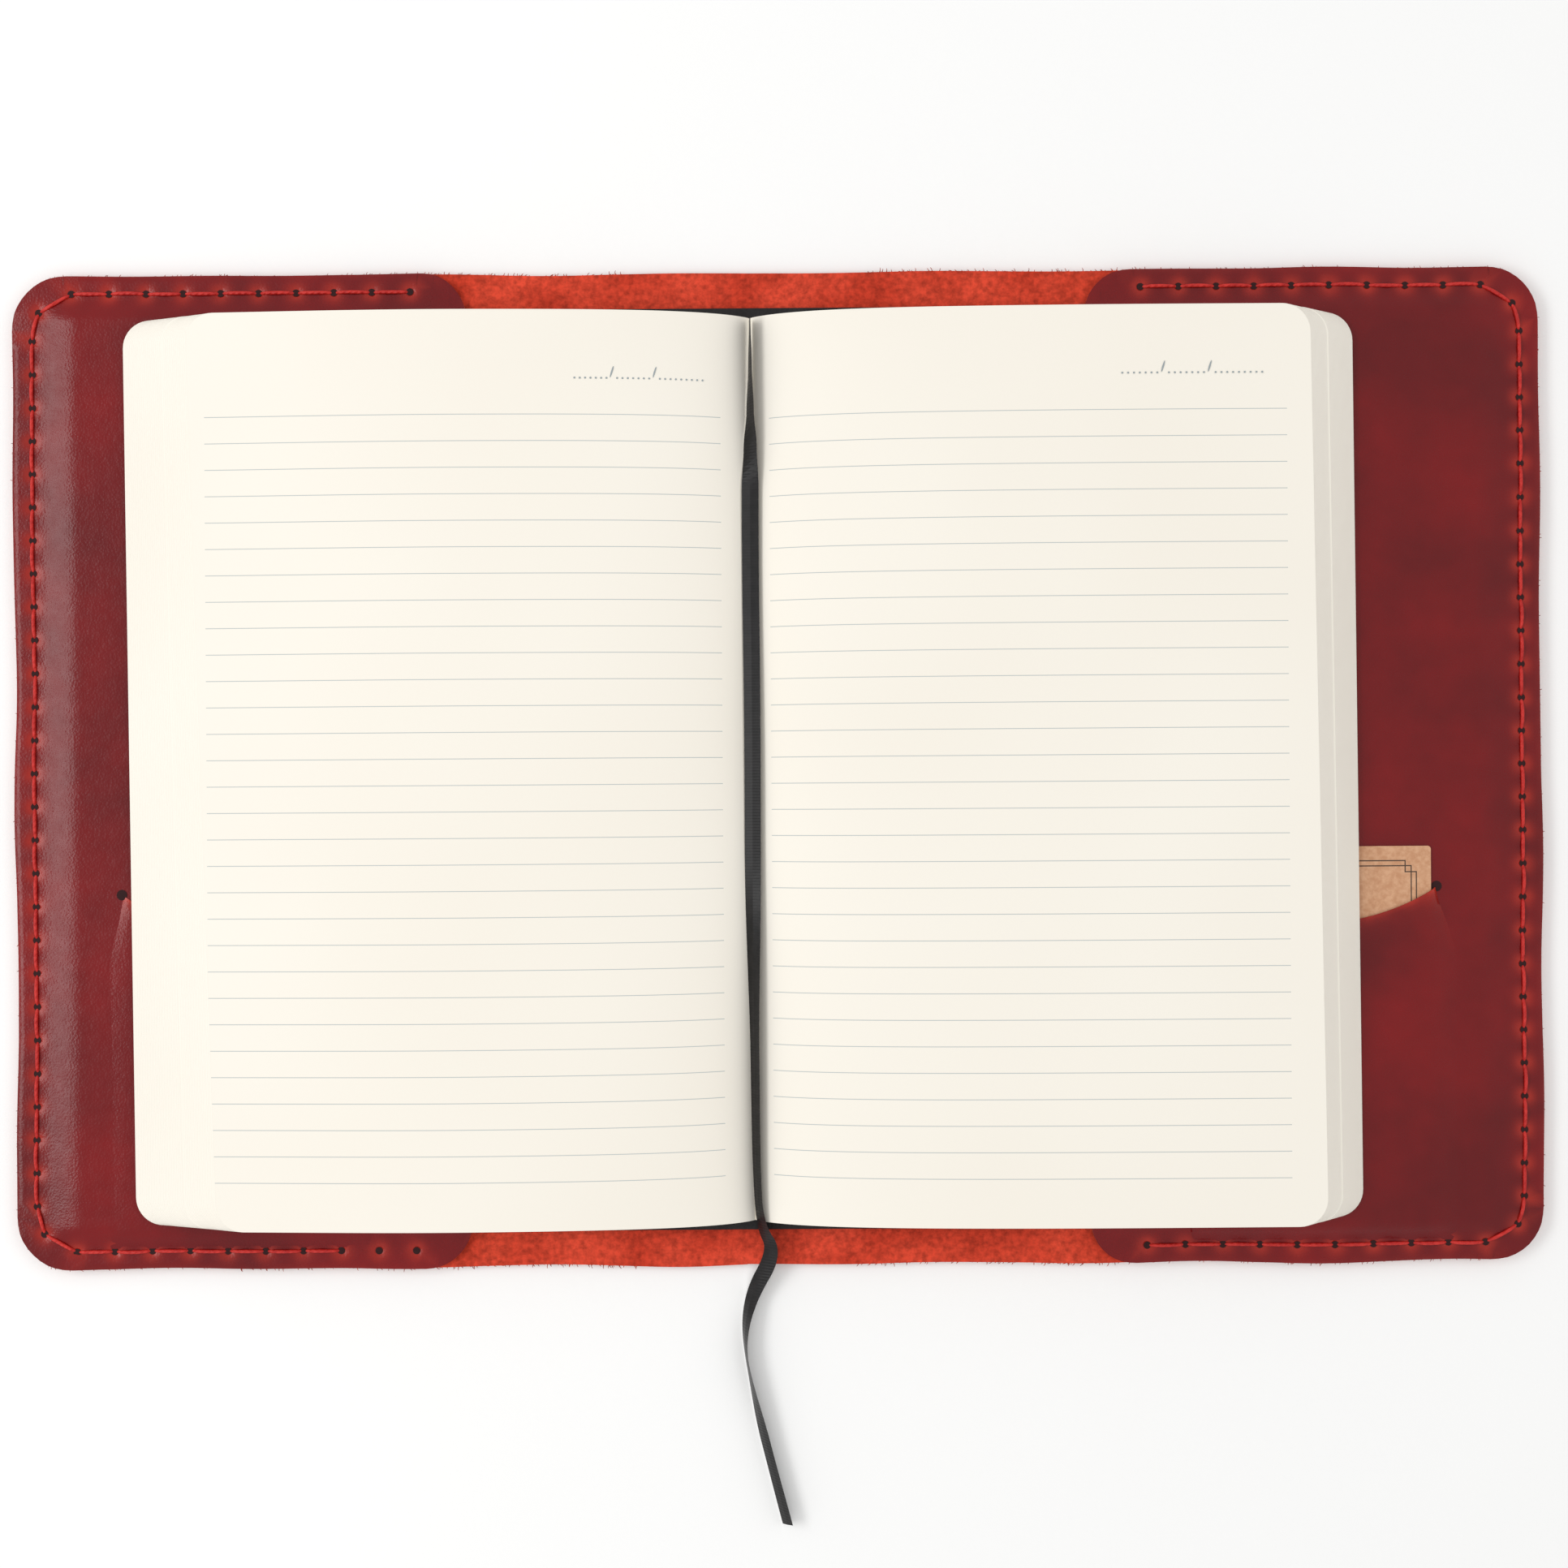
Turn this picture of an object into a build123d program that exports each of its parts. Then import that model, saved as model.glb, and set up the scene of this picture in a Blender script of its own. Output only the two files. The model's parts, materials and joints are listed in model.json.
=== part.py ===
from build123d import *
import math
import os

# Pocket notebook in a leather sleeve, lying open. Millimetres.
# Origin under the middle of the open hide, +X to the right, +Y to the head of the page, +Z up.
# Every piece of a half is drawn as the right half, measured from the middle of the spine,
# and placed by put(), which mirrors it for the left half.

# The block of pages
page_width = 130.0
page_height = 210.0
page_corner = 6.5
page_count = 5  # page sections in each half, counted from the board up
section_thick = 2.1
section_gap = 0.12
page_margin = 0.3  # from the fold line, and from the lining once closed, to the pages
gutter_gap = 1.2  # from the middle plane to the top sections, lying open
meet_gap = 0.6  # from the middle plane to any page on its way round
closed_gap = 0.87  # from the middle plane to the top sections, once closed

# The notebook's case
board_overhang = 2.5  # past the pages at head and tail
board_overhang_fore = 2.85  # past the bottom section's fore-edge
board_thick = 1.4
board_corner = 6.5
lining_thick = 0.15
endpaper_margin = 2.5

# The sleeve's hide
hide_thick = 1.8
hide_corner = 12.5
fold_gap = 0.15  # from each fold line to the pieces either side of it
sleeve_shift = 8.0  # how far the spine lies left of the hide's middle

# The sleeve's pockets
pocket_depth = 106.2  # from the hide's edge to the pocket's mouth
pocket_thick = 1.2
pocket_rim_thick = 1.4
pocket_rim = 21.7  # from the hide's edge to the inside of the pocket
pocket_seam = 8.0  # the same at head and tail
pocket_wall = 1.5
pocket_corner = 11.0
board_clearance = 0.05  # between the lined board and the pocket over it
board_fit = 0.5  # from the board to the inside of the pocket at head and tail
board_play = 1.45  # the same at the left board's fore-edge

# The card slot in each pocket, and the card in the right one
slot_edge = 26.6  # from the hide's edge to the card's side
slot_foot = 12.0  # from the hide's tail edge to the card's foot
slot_dip = 8.5
card_width = 55.0
card_length = 85.0
card_thick = 0.3
card_corner = 0.8
card_show = 9.5  # how far the card stands out of the slot
card_clearance = 0.05
slot_wall = 2.3
lip_share = 0.65  # of the pocket's thickness, left over the card
lip_clearance = 0.1  # between the slot's raised lip and the pages over it

# The saddle stitch. Each row's holes share out its length, as near to the pitch as they can.
stitch_inset = 4.6  # from the hide's side edge
stitch_inset_ends = 4.2  # from the hide's head and tail edges
stitch_side_pitch = 7.77
stitch_side_start = 14.99  # from the hide's head and tail edges to the side row
stitch_end_pitch = 8.8
stitch_end_start = 13.7  # from the hide's side edge to an end row
stitch_end_stop = 13.3  # from the end row to the pocket's mouth
stitch_corner_x = 6.2
stitch_corner_y = 8.5
thread_width = 0.9
thread_height = 0.5
hole_width = 1.3

# The marker ribbon, drawn as a narrow tube because the leaves close on it
ribbon_thick = 0.8
arc_share = 0.45  # of the shorter run at a corner, taken up by that corner's arc
ribbon_route = [
    (-8.0, 104.0, 4.6),
    (-7.95, 84.0, 5.9),
    (-8.05, 50.0, 6.5),
    (-7.95, 12.0, 6.8),
    (-8.05, -28.0, 6.6),
    (-7.95, -66.0, 6.7),
    (-8.0, -94.0, 6.2),
    (-7.2, -110.0, 5.7),
    (-5.2, -121.0, 3.0),
    (-6.6, -132.0, 0.42),
    (-7.6, -146.0, 0.42),
    (-4.4, -160.0, 0.42),
    (1.2, -177.0, 0.42),
]

cut_past = 1.0  # how far a cutting block runs past the face it cuts

# Levels that follow
board_z = hide_thick
lining_z = board_z + board_thick
fold_z = lining_z + lining_thick
pocket_z = fold_z + board_clearance
pocket_top = pocket_z + pocket_thick
card_z = pocket_top + card_clearance
lip_z = card_z + card_thick + card_clearance
lip_top = lip_z + pocket_thick * lip_share
pages_z = lip_top + lip_clearance
pages_top = pages_z + page_count * section_thick

# Sizes that follow: the spine from the block, the case from the spine, the sleeve from the case
spine_x = -sleeve_shift  # the spine's middle
spine_half = pages_top - fold_z + closed_gap  # from the spine's middle to each fold line
fan_travel = spine_half + page_margin - gutter_gap  # how far the top section lies past the bottom one
case_start = spine_half + fold_gap
board_reach = page_margin + page_width + board_overhang_fore - fold_gap
board_height = page_height + 2 * board_overhang
hide_width = board_height + 2 * (board_fit + pocket_seam)
hide_length = 2 * (case_start + board_reach + board_play + pocket_rim + sleeve_shift)
card_bottom = slot_foot - hide_width / 2
card_top = card_bottom + card_length
slot_y = card_top - card_show


def block(x0, x1, y0, y1, z0, z1):
    middle = Pos((x0 + x1) / 2, (y0 + y1) / 2, (z0 + z1) / 2)
    return middle * Box(x1 - x0, y1 - y0, z1 - z0)


def round_far(solid, radius):
    """Round the two upright corners away from the spine."""
    return fillet(solid.edges().filter_by(Axis.Z).sort_by(Axis.X)[-2:], radius)


def round_near(solid, radius):
    """Round the two upright corners next to the spine."""
    return fillet(solid.edges().filter_by(Axis.Z).sort_by(Axis.X)[:2], radius)


def put(solid, side):
    placed = mirror(solid, about=Plane.YZ) if side < 0 else solid
    return Pos(spine_x, 0, 0) * placed


def reach(side):
    """From the spine's middle to the hide's outer edge."""
    return hide_length / 2 - side * spine_x


def hide_half(side):
    half = hide_width / 2
    return round_far(block(case_start, reach(side), -half, half, 0, hide_thick), hide_corner)


def board():
    half = board_height / 2
    far = case_start + board_reach
    return round_far(block(case_start, far, -half, half, board_z, lining_z), board_corner)


def endpaper():
    half = board_height / 2 - endpaper_margin
    far = case_start + board_reach - endpaper_margin
    return round_far(block(case_start, far, -half, half, lining_z, fold_z), board_corner)


def slot_lip(side):
    """The part of the pocket that the card passes under, raised by the card."""
    near = reach(side) - slot_edge - card_width - slot_wall
    far = reach(side) - slot_edge + slot_wall
    low = card_bottom - slot_wall
    smile = ThreePointArc((near, slot_y), ((near + far) / 2, slot_y - slot_dip), (far, slot_y))
    sides = Polyline((far, slot_y), (far, low), (near, low), (near, slot_y))
    lip = extrude(Pos(0, 0, pocket_top) * make_face(smile + sides), lip_top - pocket_top)
    channel = block(
        near + slot_wall - card_clearance,
        far - slot_wall + card_clearance,
        low + slot_wall - card_clearance,
        slot_y + slot_wall,
        pocket_top,
        lip_z,
    )
    return lip - channel


def pocket(side):
    edge = reach(side)
    mouth = edge - pocket_depth
    half = hide_width / 2
    inner = half - pocket_seam
    rim = block(mouth, edge, -half, half, board_z, board_z + pocket_rim_thick)
    rim = round_near(round_far(rim, hide_corner), pocket_corner)
    raised = block(
        mouth,
        edge - pocket_rim + pocket_wall,
        -inner - pocket_wall,
        inner + pocket_wall,
        board_z,
        pocket_top,
    )
    raised = round_near(round_far(raised, board_corner), pocket_corner)
    cavity = block(mouth - cut_past, edge - pocket_rim, -inner, inner, board_z - cut_past, pocket_z)
    return rim + raised - cavity + slot_lip(side)


def share_out(length, pitch):
    """Where the holes of a row lie along it, from its start to its end."""
    gaps = round(length / pitch)
    return [length * index / gaps for index in range(gaps + 1)]


def stitch_holes(side):
    """Hole centres in order, from the head row's inner end round to the tail row's."""
    edge = reach(side)
    row = hide_width / 2 - stitch_inset_ends
    corner_y = hide_width / 2 - stitch_corner_y
    end_length = pocket_depth - stitch_end_start - stitch_end_stop
    ends = [edge - stitch_end_start - step for step in share_out(end_length, stitch_end_pitch)]
    span = hide_width / 2 - stitch_side_start
    steps = share_out(2 * span, stitch_side_pitch)
    side_holes = [(edge - stitch_inset, span - step) for step in steps]
    head = [(x, row) for x in reversed(ends)] + [(edge - stitch_corner_x, corner_y)]
    tail = [(edge - stitch_corner_x, -corner_y)] + [(x, -row) for x in ends]
    return head + side_holes + tail


def stitches(side):
    """One short length of thread from each hole to the next, lying on the pocket's rim."""
    holes = stitch_holes(side)
    threads = []
    for (x0, y0), (x1, y1) in zip(holes, holes[1:]):
        length = math.hypot(x1 - x0, y1 - y0) - hole_width
        turn = math.degrees(math.atan2(y1 - y0, x1 - x0))
        place = Pos((x0 + x1) / 2, (y0 + y1) / 2, board_z + pocket_rim_thick) * Rot(0, 0, turn)
        threads.append(place * extrude(SlotOverall(length, thread_width), thread_height))
    return threads


def section_travel(index):
    return fan_travel * index / (page_count - 1)


def section(index, side):
    """A section of pages. Its spine end is rounded to swing past the other half's pages."""
    travel = section_travel(index)
    near = spine_half + page_margin - travel
    low = pages_z + section_thick * index
    high = low + section_thick - section_gap
    middle = Plane.XZ * Pos(near + page_width / 2, (low + high) / 2)
    profile = middle * Rectangle(page_width, high - low)
    turn_x = spine_half - travel / 2
    turn_z = fold_z + travel / 2
    swing = Plane.XZ * Pos(turn_x, turn_z) * Circle(turn_x - meet_gap)
    beyond = Plane.XZ * Pos(turn_x + page_width, turn_z) * Rectangle(2 * page_width, page_width)
    pages = extrude(profile & (swing + beyond), page_height / 2, both=True)
    pages = round_far(pages, page_corner)
    if index == 0:
        foot_far = reach(side) - pocket_depth - pocket_wall
        half = page_height / 2
        pages += block(near, foot_far, -half, half, fold_z, low)
    return pages


def card(side):
    far = reach(side) - slot_edge
    plain = block(far - card_width, far, card_bottom, card_top, card_z, card_z + card_thick)
    return fillet(plain.edges().filter_by(Axis.Z), card_corner)


def ribbon():
    """Straight runs joined by arcs as large as each pair of runs allows."""
    points = [Vector(*point) for point in ribbon_route]
    runs = [b - a for a, b in zip(points, points[1:])]
    radii = []
    for before, after in zip(runs, runs[1:]):
        half_turn = math.radians(before.get_angle(after)) / 2
        radii.append(arc_share * min(before.length, after.length) / math.tan(half_turn))
    path = FilletPolyline(*points, radius=radii)
    print("ribbon radii", [round(radius, 1) for radius in radii])
    start = Plane(origin=path @ 0, z_dir=path % 0)
    tube = sweep(start * Circle(ribbon_thick / 2), path=path)
    expected = math.pi * ribbon_thick**2 / 4 * path.length
    print("ribbon length", round(path.length, 1), "volume", round(tube.volume / expected, 4))
    return tube


def save(name, solids):
    group = solids if isinstance(solids, list) else [solids]
    pieces = [piece for shape in group for piece in shape.solids()]
    shape = pieces[0] if len(pieces) == 1 else Compound(pieces)
    export_step(shape, os.path.join("parts", name + ".step"))
    print(name, len(pieces), "solids", round(shape.volume, 1))


def make_half(side, name):
    save("hide_" + name, put(hide_half(side), side))
    save("pocket_" + name, put(pocket(side), side))
    save("stitches_" + name, [put(thread, side) for thread in stitches(side)])
    save("board_" + name, put(board(), side))
    save("endpaper_" + name, put(endpaper(), side))
    for index in range(page_count):
        save("pages_" + name + "_" + str(index), put(section(index, side), side))
        turn_x = spine_x + side * (spine_half - section_travel(index) / 2)
        turn_z = fold_z + section_travel(index) / 2
        print("turning line", name, index, round(turn_x, 4), round(turn_z, 4))


def make_spine():
    near = spine_half - fold_gap
    for name, height, low, high in (
        ("hide_spine", hide_width, 0, hide_thick),
        ("case_spine", board_height, board_z, lining_z),
        ("spine_lining", page_height, lining_z, fold_z),
    ):
        save(name, put(block(-near, near, -height / 2, height / 2, low, high), 1))


os.makedirs("parts", exist_ok=True)
make_spine()
make_half(-1, "left")
make_half(1, "right")
save("card", put(card(1), 1))
save("ribbon", ribbon())
print("fold height", fold_z, "pages from", pages_z, "to", pages_top)
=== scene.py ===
import bmesh
import bpy
import json
import math
import random
from mathutils import Euler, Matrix, Vector, kdtree, noise

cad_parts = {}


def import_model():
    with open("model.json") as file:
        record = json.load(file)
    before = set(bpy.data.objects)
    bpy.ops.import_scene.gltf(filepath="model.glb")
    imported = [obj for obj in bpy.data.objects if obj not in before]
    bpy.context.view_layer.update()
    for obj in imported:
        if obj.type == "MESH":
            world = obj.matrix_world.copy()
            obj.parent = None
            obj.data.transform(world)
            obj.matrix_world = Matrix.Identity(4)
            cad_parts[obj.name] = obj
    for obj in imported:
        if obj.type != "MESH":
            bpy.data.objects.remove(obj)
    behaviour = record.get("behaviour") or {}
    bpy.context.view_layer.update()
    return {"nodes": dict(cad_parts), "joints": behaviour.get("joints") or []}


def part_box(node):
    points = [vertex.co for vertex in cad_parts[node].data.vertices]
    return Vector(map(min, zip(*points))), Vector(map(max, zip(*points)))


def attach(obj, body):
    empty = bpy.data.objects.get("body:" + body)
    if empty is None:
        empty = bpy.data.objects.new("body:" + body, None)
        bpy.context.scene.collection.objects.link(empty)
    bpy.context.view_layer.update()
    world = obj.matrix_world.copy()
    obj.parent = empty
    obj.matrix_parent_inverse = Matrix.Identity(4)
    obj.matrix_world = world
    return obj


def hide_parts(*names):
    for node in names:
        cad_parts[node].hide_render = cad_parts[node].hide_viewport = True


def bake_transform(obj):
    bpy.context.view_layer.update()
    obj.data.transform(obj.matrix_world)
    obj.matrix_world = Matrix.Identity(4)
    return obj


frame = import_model()
mm = 0.001
sides = {"left": -1, "right": 1}


def nodeBox(name):
    low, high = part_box(name)
    return low / mm, high / mm


# Everything is drawn in millimetres as a right half, measured from the middle of the spine.
joints = {joint["name"]: joint for joint in frame["joints"]}
foldLeft = joints["fold_left"]["pos_m"][0] / mm
foldRight = joints["fold_right"]["pos_m"][0] / mm
foldZ = joints["fold_right"]["pos_m"][2] / mm
spineX = (foldLeft + foldRight) / 2
foldHalf = (foldRight - foldLeft) / 2
hideThick = nodeBox("hide_spine")[1].z
hideHalf = nodeBox("hide_spine")[1].y
hideEnd = {"left": spineX - nodeBox("hide_left")[0].x, "right": nodeBox("hide_right")[1].x - spineX}
caseZ = nodeBox("case_spine")[1].z
caseHalf = nodeBox("case_spine")[1].y
boardEnd = nodeBox("board_right")[1].x - spineX
pageHalf = nodeBox("pages_right_0")[1].y
pageTop = nodeBox("pages_right_4")[1].z
pageCount = sum(name.startswith("pages_right_") for name in frame["nodes"])
pocketIn = {
    "left": spineX - nodeBox("pocket_left")[1].x,
    "right": nodeBox("pocket_right")[0].x - spineX,
}
rimTop = nodeBox("stitches_right")[0].z
cardLow, cardHigh = nodeBox("card")
print("frame read, spine at", round(spineX, 2), "fold height", round(foldZ, 2))


def smooth(value, low, high):
    share = min(max((value - low) / (high - low), 0.0), 1.0)
    return share * share * (3 - 2 * share)


def hexColor(code):
    parts = [int(code[i : i + 2], 16) / 255 for i in (1, 3, 5)]
    return [c / 12.92 if c <= 0.04045 else ((c + 0.055) / 1.055) ** 2.4 for c in parts] + [1.0]


# Camera: straight above the open book, with a turn of less than a degree.
camera = {"x": 1.3, "y": -3.6, "height": 481.0, "lens": 47.0, "sensor": 36.0, "turn": -0.4}
lens = bpy.data.cameras.new("camera")
lens.lens = camera["lens"]
lens.sensor_width = camera["sensor"]
lens.clip_start = 0.01
viewer = bpy.data.objects.new("camera", lens)
viewer.location = (camera["x"] * mm, camera["y"] * mm, camera["height"] * mm)
viewer.rotation_euler = Euler((0, 0, math.radians(camera["turn"])))
bpy.context.scene.collection.objects.link(viewer)
bpy.context.scene.camera = viewer
bpy.context.scene.view_settings.view_transform = "Standard"


# One node with its settings and its links; a socket as a value is linked, anything else is set.
def addNode(tree, kind, inputs=None, **settings):
    node = tree.nodes.new("ShaderNode" + kind)
    for key, value in settings.items():
        setattr(node, key, value)
    for key, value in (inputs or {}).items():
        if isinstance(value, bpy.types.NodeSocket):
            tree.links.new(value, node.inputs[key])
        else:
            node.inputs[key].default_value = value
    return node


def cloudNoise(tree, place, size, detail=3.0):
    settings = {"Vector": place, "Scale": 1 / (size * mm), "Detail": detail}
    return addNode(tree, "TexNoise", settings).outputs[0]


# Stretches one range of values over another.
def remap(tree, value, source, target):
    inputs = {0: value, 1: source[0], 2: source[1], 3: target[0], 4: target[1]}
    return addNode(tree, "MapRange", inputs).outputs[0]


def maths(tree, operation, *values):
    return addNode(tree, "Math", dict(enumerate(values)), operation=operation).outputs[0]


def mixColours(tree, share, first, second):
    return addNode(tree, "Mix", {0: share, 6: first, 7: second}, data_type="RGBA").outputs[2]


def scaleColour(tree, colour, share):
    return addNode(tree, "VectorMath", {0: colour, "Scale": share}, operation="SCALE").outputs[0]


def attribute(tree, name):
    return addNode(tree, "Attribute", attribute_name=name).outputs["Fac"]


def startMaterial(name, **values):
    material = bpy.data.materials.new(name)
    material.use_nodes = True
    tree = material.node_tree
    shader = tree.nodes["Principled BSDF"]
    for key, value in values.items():
        shader.inputs[key.replace("_", " ")].default_value = value
    place = addNode(tree, "TexCoord").outputs["Object"]
    return material, tree, shader, place


# A colour that wanders between two hex colours with one noise.
def mottle(tree, place, size, first, second, detail=4.0, low=0.35, high=0.65):
    share = remap(tree, cloudNoise(tree, place, size, detail), (low, high), (0, 1))
    return mixColours(tree, share, hexColor(first), hexColor(second))


# Lays bumps over one another, each with its depth in millimetres.
def roughen(tree, shader, heights, distances):
    last = None
    for height, distance in zip(heights, distances):
        inputs = {"Height": height, "Strength": 1.0, "Distance": distance * mm}
        if last:
            inputs["Normal"] = last
        last = addNode(tree, "Bump", inputs).outputs[0]
    tree.links.new(last, shader.inputs["Normal"])


# Vegetable-tanned leather, flesh side: matt, napped, orange-red with darker pressed patches.
def suedeMaterial():
    material, tree, shader, place = startMaterial(
        "suede_flesh_side", Roughness=0.95, Specular_IOR_Level=0.15,
        Sheen_Weight=0.22, Sheen_Roughness=0.5, Sheen_Tint=hexColor("#E0603C"),
    )
    broad = mottle(tree, place, 14, "#BE3A26", "#D44832")
    fibres = cloudNoise(tree, place, 1.2, 6.0)
    shade = remap(tree, fibres, (0.3, 0.66), (0.66, 1.24))
    tree.links.new(scaleColour(tree, broad, shade), shader.inputs["Base Color"])
    roughen(tree, shader, [fibres, cloudNoise(tree, place, 0.5)], [0.16, 0.06])
    return material


# Vegetable-tanned leather, waxed grain side: deep burgundy that pales where it is bent or pierced.
def grainMaterial(name, dark, light):
    material, tree, shader, place = startMaterial(name, Specular_IOR_Level=0.3)
    patch = remap(tree, cloudNoise(tree, place, 5, 4.0), (0.25, 0.75), (0.93, 1.06))
    body = scaleColour(tree, mottle(tree, place, 38, dark, light, 3.0), patch)
    tint = mixColours(tree, attribute(tree, "stress"), body, hexColor("#BE3322"))
    tree.links.new(tint, shader.inputs["Base Color"])
    pores = addNode(tree, "TexVoronoi", {"Vector": place, "Scale": 1 / (0.55 * mm)}).outputs[0]
    scuff = cloudNoise(tree, place, 2.4, 6.0)
    tree.links.new(remap(tree, scuff, (0.3, 0.7), (0.21, 0.3)), shader.inputs["Roughness"])
    roughen(tree, shader, [pores, scuff], [0.035, 0.06])
    return material


# Cut edge of the hide: raw fibres, mixed dark and pale.
def edgeMaterial():
    material, tree, shader, place = startMaterial(
        "hide_cut_edge", Roughness=0.9, Specular_IOR_Level=0.2
    )
    tint = mottle(tree, place, 1.2, "#7C2420", "#C4533A", 6.0)
    tree.links.new(tint, shader.inputs["Base Color"])
    roughen(tree, shader, [cloudNoise(tree, place, 0.8, 6.0)], [0.18])
    return material


# Waxed linen thread: two plies, so a slanted ridge runs round it.
def threadMaterial():
    material, tree, shader, place = startMaterial(
        "waxed_linen_thread", Roughness=0.55, Specular_IOR_Level=0.4
    )
    tint = mottle(tree, place, 1.5, "#B41A17", "#CE2C25", 3.0)
    tree.links.new(tint, shader.inputs["Base Color"])
    turn = addNode(tree, "Mapping", {"Vector": place, "Rotation": (0, 0, math.radians(45))})
    ply = addNode(tree, "TexWave", {"Vector": turn.outputs[0], "Scale": 1 / (3.2 * mm), "Distortion": 0.6})
    roughen(tree, shader, [ply.outputs["Fac"]], [0.12])
    return material


# Leatherette on the notebook's case: embossed black PU, a fine even grain and a soft shine.
def leatheretteMaterial():
    material, tree, shader, place = startMaterial(
        "black_leatherette", Roughness=0.52, Specular_IOR_Level=0.3
    )
    tint = mottle(tree, place, 4, "#141213", "#1E1C1D", 3.0)
    tree.links.new(tint, shader.inputs["Base Color"])
    cells = addNode(tree, "TexVoronoi", {"Vector": place, "Scale": 1 / (0.7 * mm)}).outputs[0]
    roughen(tree, shader, [cells], [0.09])
    return material


# Uncoated ivory paper. The edges of a block show its leaves as fine darker lines, painted shade in the
# gaps between leaves, drawn coarser than the 0.1 mm of a real leaf so that they show.
def paperMaterial(name, face="#F8F3E8", shade="#F5EFE3"):
    material, tree, shader, place = startMaterial(name, Roughness=0.88, Specular_IOR_Level=0.2)
    tint = mottle(tree, place, 60, shade, face, 1.0, 0.2, 0.8)
    roughen(tree, shader, [cloudNoise(tree, place, 0.4, 3.0)], [0.012])
    tree.links.new(tint, shader.inputs["Base Color"])
    return material, tree, shader, tint


def pageEdgeMaterial(face, shade, line):
    material, tree, shader, tint = paperMaterial("leaf_edges", face, shade)
    # Painted shade: a darker line where each leaf meets the next.
    spread = maths(tree, "MULTIPLY", attribute(tree, "leaf"), 9.0)
    saw = maths(tree, "PINGPONG", spread, 0.5)
    share = remap(tree, saw, (0.0, 0.22), (0.55, 0.0))
    tree.links.new(mixColours(tree, share, tint, hexColor(line)), shader.inputs["Base Color"])
    roughen(tree, shader, [saw], [0.12])
    return material


# The ruling is offset-printed in pale grey-blue, thirty lines to the page. It follows the page's own
# attributes "across" and "along", so it stays on the page when the page turns.
ruling = {
    "pitch": 6.03,
    "first": 81.0,
    "lines": 30,
    "width": 0.17,
    "soft": 0.4,
    "ink": "#BAC1C0",
    "span": {"left": (-130.6, -12.8), "right": (-1.6, 116.2)},
}


def ruledMaterial(side):
    material, tree, shader, tint = paperMaterial("ruled_paper_" + side)
    start, end = ruling["span"][side]
    down = maths(tree, "SUBTRACT", attribute(tree, "along"), ruling["first"] * mm)
    count = maths(tree, "DIVIDE", down, ruling["pitch"] * mm)
    near = maths(tree, "PINGPONG", count, 0.5)
    half = ruling["width"] / ruling["pitch"] / 2
    soft = ruling["soft"] * half
    inked = remap(tree, near, (half - soft, half + soft), (1.0, 0.0))
    middle = -(ruling["lines"] - 1) / 2
    rows = maths(tree, "COMPARE", count, middle, 0.2 - middle)
    centre, reach = (start + end) / 2 * mm, (end - start) / 2 * mm
    columns = maths(tree, "COMPARE", attribute(tree, "across"), centre, reach)
    mask = maths(tree, "MULTIPLY", inked, maths(tree, "MULTIPLY", rows, columns))
    tree.links.new(mixColours(tree, mask, tint, hexColor(ruling["ink"])), shader.inputs["Base Color"])
    return material


# One flat colour, for what is too small or too plain to show a pattern: the painted shade in holes, ink,
# the floor.
def plainMaterial(name, code, rough):
    material, tree, shader, place = startMaterial(name, Roughness=rough)
    shader.inputs["Base Color"].default_value = hexColor(code)
    roughen(tree, shader, [cloudNoise(tree, place, 0.6)], [0.02])
    return material


# Kraft card with a printed double rule: the outer one steps in at its corners, the inner is plain.
cardPrint = {"inset": 3.4, "gap": 1.2, "step": 2.6, "width": 0.28, "ink": "#54443A"}


def kraftMaterial():
    material, tree, shader, place = startMaterial(
        "kraft_card", Roughness=0.85, Specular_IOR_Level=0.2
    )
    tint = mottle(tree, place, 1.1, "#C5926F", "#D6A784", 6.0)
    centre = (cardLow + cardHigh) / 2
    move = addNode(tree, "Mapping", {"Vector": place, "Location": (-centre.x * mm, -centre.y * mm, 0)})
    axes = addNode(tree, "SeparateXYZ", {0: move.outputs[0]}).outputs
    across = maths(tree, "ABSOLUTE", axes[0])
    along = maths(tree, "ABSOLUTE", axes[1])
    halfX = (cardHigh.x - cardLow.x) / 2 - cardPrint["inset"]
    halfY = (cardHigh.y - cardLow.y) / 2 - cardPrint["inset"]
    masks = []
    for extra, step in ((0.0, cardPrint["step"]), (cardPrint["gap"], 0.0)):
        boxes = []
        for dx, dy in ((0, step), (step, 0)):
            farX = maths(tree, "SUBTRACT", across, (halfX - dx - extra) * mm)
            farY = maths(tree, "SUBTRACT", along, (halfY - dy - extra) * mm)
            boxes.append(maths(tree, "MAXIMUM", farX, farY))
        edge = maths(tree, "MINIMUM", *boxes)
        masks.append(maths(tree, "COMPARE", edge, 0.0, cardPrint["width"] / 2 * mm))
    mask = maths(tree, "MAXIMUM", *masks)
    inked = mixColours(tree, mask, tint, hexColor(cardPrint["ink"]))
    tree.links.new(inked, shader.inputs["Base Color"])
    roughen(tree, shader, [cloudNoise(tree, place, 0.5, 6.0)], [0.03])
    return material


# Woven satin: black, with ribs across the ribbon at the weft's spacing.
def satinMaterial():
    material, tree, shader, place = startMaterial(
        "black_satin", Roughness=0.42, Specular_IOR_Level=0.3, Anisotropic=0.5,
        Sheen_Weight=0.03, Sheen_Roughness=0.35,
    )
    tint = mottle(tree, place, 2, "#0E0D0E", "#181617", 3.0)
    tree.links.new(tint, shader.inputs["Base Color"])
    ribs = addNode(tree, "TexWave", {"Vector": place, "Scale": 1 / (2.2 * mm)}, bands_direction="Y")
    roughen(tree, shader, [ribs.outputs["Fac"]], [0.03])
    return material


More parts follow.
